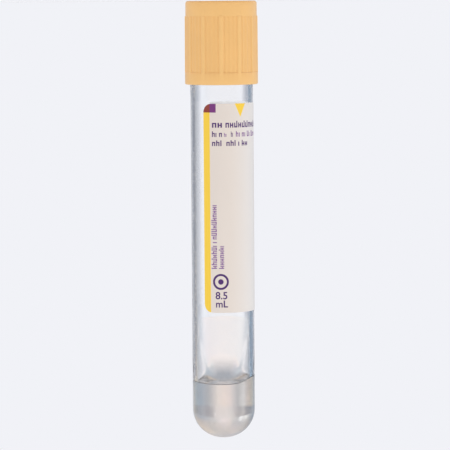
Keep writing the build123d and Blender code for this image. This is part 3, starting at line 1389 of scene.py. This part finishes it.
# ------------------------------------------------------------------------------ the shield
@dataclass
class Shield:
    """Ribbed plastic shield that grips the stopper.

    Attributes:
        bottom: height of the skirt's lower edge.
        band_top: top of the smooth band.
        grip_top: top of the ribbed zone.
        top: height of the crown.
        roof: height of the crown's underside.
        ledge_bottom: height of the underside of the ledge that grips the stopper.
        ledge_top: height of its upper side.
        band: radius of the band.
        band_edge: height over which the band's upper edge is rounded.
        taper: draft of the outside above the band, degrees.
        inset: how far the smooth upper zone lies in from the main ribs.
        panel: depth of the valleys.
        bore: inner radius of the skirt.
        lead_in: slope at the skirt's mouth.
        ledge: radius of the ledge.
        room: radius round the stopper's head.
        port: radius of the opening in the crown.
        main_ribs: number of main ribs.
        fine_between: fine ribs between two main ones.
        main_width: width of a main rib.
        fine_width: width of a fine rib.
        fine_height: height of a fine rib over the valley.
        flank: width of the soft slope at each side of a rib.
        end: height over which a rib runs out at its upper end.
        end_rings: rings of faces there.
        rib_faces: faces round the axis for each main rib.
        skin: depth within which a point belongs to the outside.
        skirt_round: rounding of the skirt's lower edge.
        band_round: rounding where the band meets the valleys.
        grip_round: rounding at the upper ends of the valleys.
        crown_round: rounding of the crown.
        port_round: rounding of the port.
        inner_round: rounding of the inside.
    """

    bottom: float = 89.20
    band_top: float = 92.20
    grip_top: float = 106.10
    top: float = 110.0
    roof: float = 108.5
    ledge_bottom: float = 102.46
    ledge_top: float = 104.18
    band: float = 9.13
    band_edge: float = 0.11
    taper: float = 0.20
    inset: float = 0.16
    panel: float = 0.26
    bore: float = 8.23
    lead_in: float = 0.35
    ledge: float = 6.62
    room: float = 7.52
    port: float = 4.40
    main_ribs: int = 12
    fine_between: int = 3
    main_width: float = 1.05
    fine_width: float = 0.56
    fine_height: float = 0.09
    flank: float = 0.30
    end: float = 0.18
    end_rings: int = 4
    rib_faces: int = 40
    skin: float = 0.312
    skirt_round: float = 0.34
    band_round: float = 0.10
    grip_round: float = 0.04
    crown_round: float = 0.65
    port_round: float = 0.30
    inner_round: float = 0.15

    def crest(self, height: float) -> float:
        """Radius of the drafted outside at the tops of the main ribs, at a height in mm."""
        return self.band - math.tan(math.radians(self.taper)) * (height - self.band_top)

    def build_shell(self) -> Object:
        """Turns the shell, with its valleys still bare.

        Returns:
            The shell.
        """
        smooth_low = self.crest(self.grip_top) - self.inset
        smooth_top = self.crest(self.top) - self.inset
        skirt = (self.band, self.bottom)
        band_edge = [(self.band, self.band_top), (self.crest(self.band_top) - self.panel, self.band_top)]
        grip_edge = [(self.crest(self.grip_top) - self.panel, self.grip_top), (smooth_low, self.grip_top)]
        rings = range(1, self.end_rings + 1)
        run_out = [(smooth_low, self.grip_top + self.end * ring / self.end_rings) for ring in rings]
        crown = (smooth_top, self.top)
        port = [(self.port, self.top), (self.port, self.roof)]
        room = [(self.room, self.roof), (self.room, self.ledge_top)]
        ledge = [(self.ledge, self.ledge_top), (self.ledge, self.ledge_bottom)]
        section = [
            (self.bore + self.lead_in, self.bottom), skirt, *band_edge, *grip_edge, *run_out, crown, *port,
            *room, *ledge, (self.bore, self.ledge_bottom), (self.bore, self.bottom + self.lead_in),
        ]
        corners = [
            (self.skirt_round, [skirt]), (self.band_round, band_edge), (self.grip_round, grip_edge),
            (self.crown_round, [crown]), (self.port_round, port[:1]),
            (self.inner_round, [port[1], room[1], *ledge]),
        ]
        steps = self.main_ribs * self.rib_faces
        return Turning("ribbed_shield", steps=steps, closed=True, corners=corners).turn(section)

    def relief(self, angle: float) -> float:
        """Height of the ribs over the valleys.

        Args:
            angle: angle round the axis, radians.

        Returns:
            The height, mm: the valley's depth on a main rib, 0 between the ribs.
        """
        pitch = 2 * math.pi / self.main_ribs
        fine_pitch = pitch / (self.fine_between + 1)
        kinds = ((pitch, self.main_width, self.panel), (fine_pitch, self.fine_width, self.fine_height))
        tallest = 0.0
        for spacing, width, over in kinds:
            aside = abs((angle + spacing / 2) % spacing - spacing / 2) * self.band
            tallest = max(tallest, over * ease((width / 2 + self.flank / 2 - aside) / self.flank))
        return tallest

    def build(self) -> Object:
        """Builds the shell and raises its ribs out of the valleys.

        Returns:
            The shield. Its relief attribute is 0 in the valleys and 1 on the ribs.
        """
        shell = self.build_shell()
        # The relief attribute marks the valleys, into which the shield's finish paints shade.
        relief = shell.data.attributes.new("relief", "FLOAT", "POINT")
        for vertex, mark in zip(shell.data.vertices, relief.data):
            mark.value = 1.0
            spot = vertex.co / MM
            height = TIP - spot.z
            reach = math.hypot(spot.x, spot.y)
            over = height - self.grip_top
            inside = reach < self.crest(height) - self.skin
            if inside or height < self.band_top - self.band_edge or over > self.end:
                continue
            rise = self.relief(math.atan2(spot.x, -spot.y))
            ribbed = self.crest(height) - self.panel + rise
            fade = 1.0 - (max(0.0, over) / self.end) ** 2
            mark.value = 1.0 - fade * (1.0 - rise / self.panel)
            if ribbed > reach:
                grown = (reach + (ribbed - reach) * fade) / reach
                vertex.co.x *= grown
                vertex.co.y *= grown
        shell.data.update()
        return finish_mesh(shell)

    def dress(self, piece: Object, finish: Material) -> None:
        """Gives the shield its finish and ties it to its body.

        Args:
            piece: the shield.
            finish: its material.
        """
        piece.data.materials.append(finish)
        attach(piece, Body.CLOSURE.value)
        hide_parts("shield")


# ------------------------------------------------------------------------------ the studio
@dataclass(frozen=True)
class SoftBox:
    """A soft box that faces the object.

    Attributes:
        name: name of the lamp.
        angle: angle round the axis from the front, degrees.
        rise: height over the floor, metres.
        reach: distance from the axis, metres.
        size: width and height, metres.
        power: power, watts.
        mirrored: glossy surfaces reflect it.
    """

    name: str
    angle: float
    rise: float
    reach: float
    size: Point
    power: float
    mirrored: bool = False

    def build(self) -> None:
        """Adds the lamp and turns it to the middle of the object."""
        clear_selection()
        bpy.ops.object.light_add(type="AREA")
        lamp = bpy.context.object
        lamp.name = self.name
        lamp.data.shape = "RECTANGLE"
        lamp.data.size, lamp.data.size_y = self.size
        lamp.data.energy = self.power
        lamp.location = toward(self.angle) * self.reach + Vector((0, 0, self.rise))
        to_object = Vector((0, 0, TIP * MM / 2)) - lamp.location
        lamp.rotation_mode = "QUATERNION"
        lamp.rotation_quaternion = to_object.to_track_quat("-Z", "Y")
        lamp.visible_transmission = False
        lamp.visible_glossy = self.mirrored


@dataclass
class Studio:
    """Floor, backdrop, soft lights and camera.

    Attributes:
        backdrop: colour that the camera sees behind the object.
        low_painted_ring: painted light and shade round the object, low down, that clear plastic shows as
            bright and
            dark bands: angle from straight behind to the right, and colour. The front half repeats the back
                half.
        high_painted_ring: the same painted light and shade, as high as the tube's round end sees it.
        overhead_painted_ring: the same painted light and shade, overhead.
        front: what the clear pieces mirror from the camera's side.
        fill: the world as plain fill light.
        raised: upward share of a direction where low_painted_ring turns into high_painted_ring.
        overhead: the same, where high_painted_ring turns into overhead_painted_ring.
        ahead: share of a direction along y where the back turns into the front.
        floor: radius of the floor, and width of the ring of faces at its edge, metres.
        distance: from the tube's axis to the camera, mm.
        eye: height of the camera, mm from the round tip.
        aim: height that it looks at.
        shift_right: how far camera and aim lie to the right of the axis, mm.
        lens: focal length, mm.
        roll: roll of the camera, degrees.
        lamps: the soft boxes.
    """

    backdrop: Colour = (0.880, 0.888, 0.930)
    low_painted_ring: Ring = (
        (-90, (0.93, 0.92, 0.96)), (-80, (0.91, 0.90, 0.94)), (-70, (0.44, 0.44, 0.47)),
        (-52, (0.36, 0.37, 0.40)), (-46, (0.33, 0.34, 0.38)), (-34, (0.21, 0.23, 0.28)),
        (-28, (0.26, 0.28, 0.33)), (-24, (0.54, 0.56, 0.60)), (-17, (0.50, 0.52, 0.58)),
        (-12.5, (0.66, 0.67, 0.73)), (-8, (0.90, 0.92, 0.97)), (-3, (1.00, 0.99, 1.02)),
        (5, (1.00, 0.99, 1.02)), (8, (0.93, 0.93, 0.97)), (12, (0.60, 0.61, 0.67)),
        (17, (0.44, 0.46, 0.53)), (30, (0.30, 0.35, 0.43)), (50, (0.25, 0.30, 0.37)),
        (64, (0.34, 0.39, 0.46)), (72, (0.91, 0.90, 0.94)),
    )
    high_painted_ring: Ring = (
        (-90, (0.93, 0.92, 0.96)), (-72, (0.91, 0.90, 0.94)), (-64, (0.66, 0.64, 0.60)),
        (-57, (0.67, 0.65, 0.58)), (-43, (0.86, 0.745, 0.57)), (-32, (0.87, 0.78, 0.71)),
        (-24, (0.95, 1.00, 1.05)), (-18, (0.82, 0.88, 0.93)), (-15, (0.65, 0.70, 0.77)),
        (-13, (0.76, 0.79, 0.85)), (-10, (0.86, 0.86, 0.91)), (-7, (1.08, 1.00, 1.02)),
        (0, (1.18, 1.08, 1.04)), (6, (1.12, 1.08, 1.07)), (8, (0.98, 0.97, 0.96)),
        (11, (0.84, 0.85, 0.90)), (14, (0.72, 0.77, 0.83)), (18, (0.57, 0.645, 0.735)),
        (24, (0.39, 0.50, 0.63)), (30, (0.295, 0.43, 0.58)), (43, (0.39, 0.56, 0.73)),
        (57, (0.37, 0.52, 0.67)), (66, (0.44, 0.54, 0.66)), (74, (0.91, 0.90, 0.94)),
    )
    overhead_painted_ring: Ring = (
        (-90, (0.32, 0.33, 0.36)), (-60, (0.24, 0.29, 0.35)), (-35, (0.64, 0.58, 0.50)),
        (-28, (0.76, 0.69, 0.60)), (-19, (0.42, 0.46, 0.53)), (19, (0.42, 0.46, 0.53)),
        (28, (0.76, 0.67, 0.56)), (35, (0.60, 0.52, 0.44)), (60, (0.55, 0.44, 0.34)),
    )
    front: Colour = (0.42, 0.42, 0.44)
    fill: Colour = (0.72, 0.71, 0.70)
    raised: Point = (0.140, 0.148)
    overhead: Point = (0.21, 0.54)
    ahead: Point = (-0.10, -0.45)
    floor: Point = (2.5, 0.4)
    distance: float = 668.0
    eye: float = 109.9
    aim: float = 53.80
    shift_right: float = 0.61
    lens: float = 213.3
    roll: float = 0.41
    lamps: tuple[SoftBox, ...] = (
        SoftBox("soft_box_left", -50, 0.40, 0.75, (0.60, 0.60), 1.46),
        SoftBox("soft_box_right", 62, 0.40, 0.75, (0.60, 0.60), 1.65),
        SoftBox("soft_box_back", 180, 0.60, 0.80, (0.60, 0.40), 0.95),
        SoftBox("strip_left", -34, 0.31, 0.72, (0.08, 0.12), 0.12, mirrored=True),
        SoftBox("strip_right", 72, 0.486, 0.66, (0.20, 0.24), 0.50, mirrored=True),
    )

    def build_floor(self) -> None:
        """Models the floor under the closure, a wide disc with a ring of faces at its edge."""
        radius, edge = self.floor
        clear_selection()
        bpy.ops.mesh.primitive_circle_add(vertices=96, radius=radius, fill_type="NGON", location=(0, 0, 0))
        floor = bpy.context.object
        floor.name = "studio_floor"
        bpy.ops.object.mode_set(mode="EDIT")
        bpy.ops.mesh.select_all(action="SELECT")
        bpy.ops.mesh.inset(thickness=edge)
        clear_selection()
        floor.data.materials.append(FloorFinish("pale_floor", self.backdrop).make())

    def build_world(self) -> None:
        """Builds the backdrop, and the painted light and shade round the object that the clear pieces see."""
        world = bpy.data.worlds.new("studio")
        bpy.context.scene.world = world
        world.use_nodes = True
        world.node_tree.nodes.clear()
        wires = Wiring(world.node_tree)
        split = wires.add("SeparateXYZ", {0: wires.add("TexCoord").outputs["Generated"]})
        # Painted light and shade round the object, that the pieces show in what they mirror and let through.
        low, high, top = wires.rings(split, (self.low_painted_ring, self.high_painted_ring, self.overhead_painted_ring))
        raised = wires.fade(split.outputs[2], *self.raised, "SMOOTHSTEP")
        overhead = wires.fade(split.outputs[2], *self.overhead, "SMOOTHSTEP")
        ahead = wires.fade(split.outputs[1], *self.ahead, "SMOOTHSTEP")
        ahead = wires.maths("MULTIPLY", ahead, wires.maths("SUBTRACT", 1.0, overhead))
        seen = wires.blend(overhead, wires.blend(raised, low, high), top)
        seen = wires.blend(ahead, seen, self.front)
        rays = wires.add("LightPath").outputs
        studio = wires.add("Background", {0: wires.blend(rays["Is Diffuse Ray"], seen, self.fill), 1: 1.0})
        behind = wires.add("Background", {0: self.backdrop, 1: 1.0})
        mixed = wires.add("MixShader", {0: rays["Is Camera Ray"], 1: studio.outputs[0], 2: behind.outputs[0]})
        wires.add("OutputWorld", {0: mixed.outputs[0]})

    def build_camera(self) -> None:
        """Sets up the camera, rolled so that the closure is at the top of the picture."""
        eye = place(0, self.eye) + (FRONT * self.distance + RIGHT * self.shift_right) * MM
        aim = place(0, self.aim) + RIGHT * self.shift_right * MM
        back = (eye - aim).normalized()
        up = (ALONG - back * ALONG.dot(back)).normalized()
        right = up.cross(back)
        turn = math.radians(self.roll)
        up, right = up * math.cos(turn) + right * math.sin(turn), right * math.cos(turn) - up * math.sin(turn)
        clear_selection()
        bpy.ops.object.camera_add()
        camera = bpy.context.object
        camera.name = "studio_camera"
        camera.data.lens = self.lens
        camera.data.sensor_width = 36.0
        camera.data.clip_start = 0.01
        camera.data.clip_end = 50.0
        turned = Matrix((right, up, back)).transposed().to_4x4()
        turned.translation = eye
        camera.matrix_world = turned
        bpy.context.scene.camera = camera

    def build(self) -> None:
        """Builds the whole studio."""
        self.build_floor()
        self.build_world()
        for lamp in self.lamps:
            lamp.build()
        self.build_camera()
        bpy.context.scene.view_settings.view_transform = "Standard"


def main() -> None:
    """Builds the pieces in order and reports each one."""
    logging.basicConfig(level=logging.INFO, format="%(name)s: %(message)s")
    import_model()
    moulding_grain()
    printed_block()
    printed_row()
    tube, gel, label, stopper, shield = Tube(), SeparatorGel(), Label(), Stopper(), Shield()
    pieces = [part.build() for part in (tube, gel, label, stopper, shield)]
    clear, plug, film, rubber, ribbed = pieces
    tube.dress(clear)
    gel.dress(plug)
    label.dress(film, [
        LabelFilm("printed_film", label.height).make(),
        # The glue side glows with painted light, as if lit through the film.
        MouldedFinish("film_back", (0.97, 0.965, 0.96), 0.55, tone=0.05, painted_glow=0.50).make(),
        MouldedFinish("print_ink", Ink.VIOLET.value, 0.45, tone=0.10).make(),
    ])
    stopper.dress(rubber, MouldedFinish(
        "stopper_rubber", (0.60, 0.36, 0.13), 0.62, fineness=1800.0, grain=0.00003, sheen=0.15
    ).make())
    # The shield's finish paints shade into the valleys between its ribs.
    shield.dress(ribbed, MouldedFinish(
        "shield_plastic", (0.875, 0.528, 0.195), 0.42, sheen=0.15, painted_valley_shade=0.065
    ).make())
    Studio().build()
    for piece in pieces:
        triangles = sum(len(face.vertices) - 2 for face in piece.data.polygons)
        log.info("%s: %d triangles", piece.name, triangles)


if __name__ == "__main__":
    main()
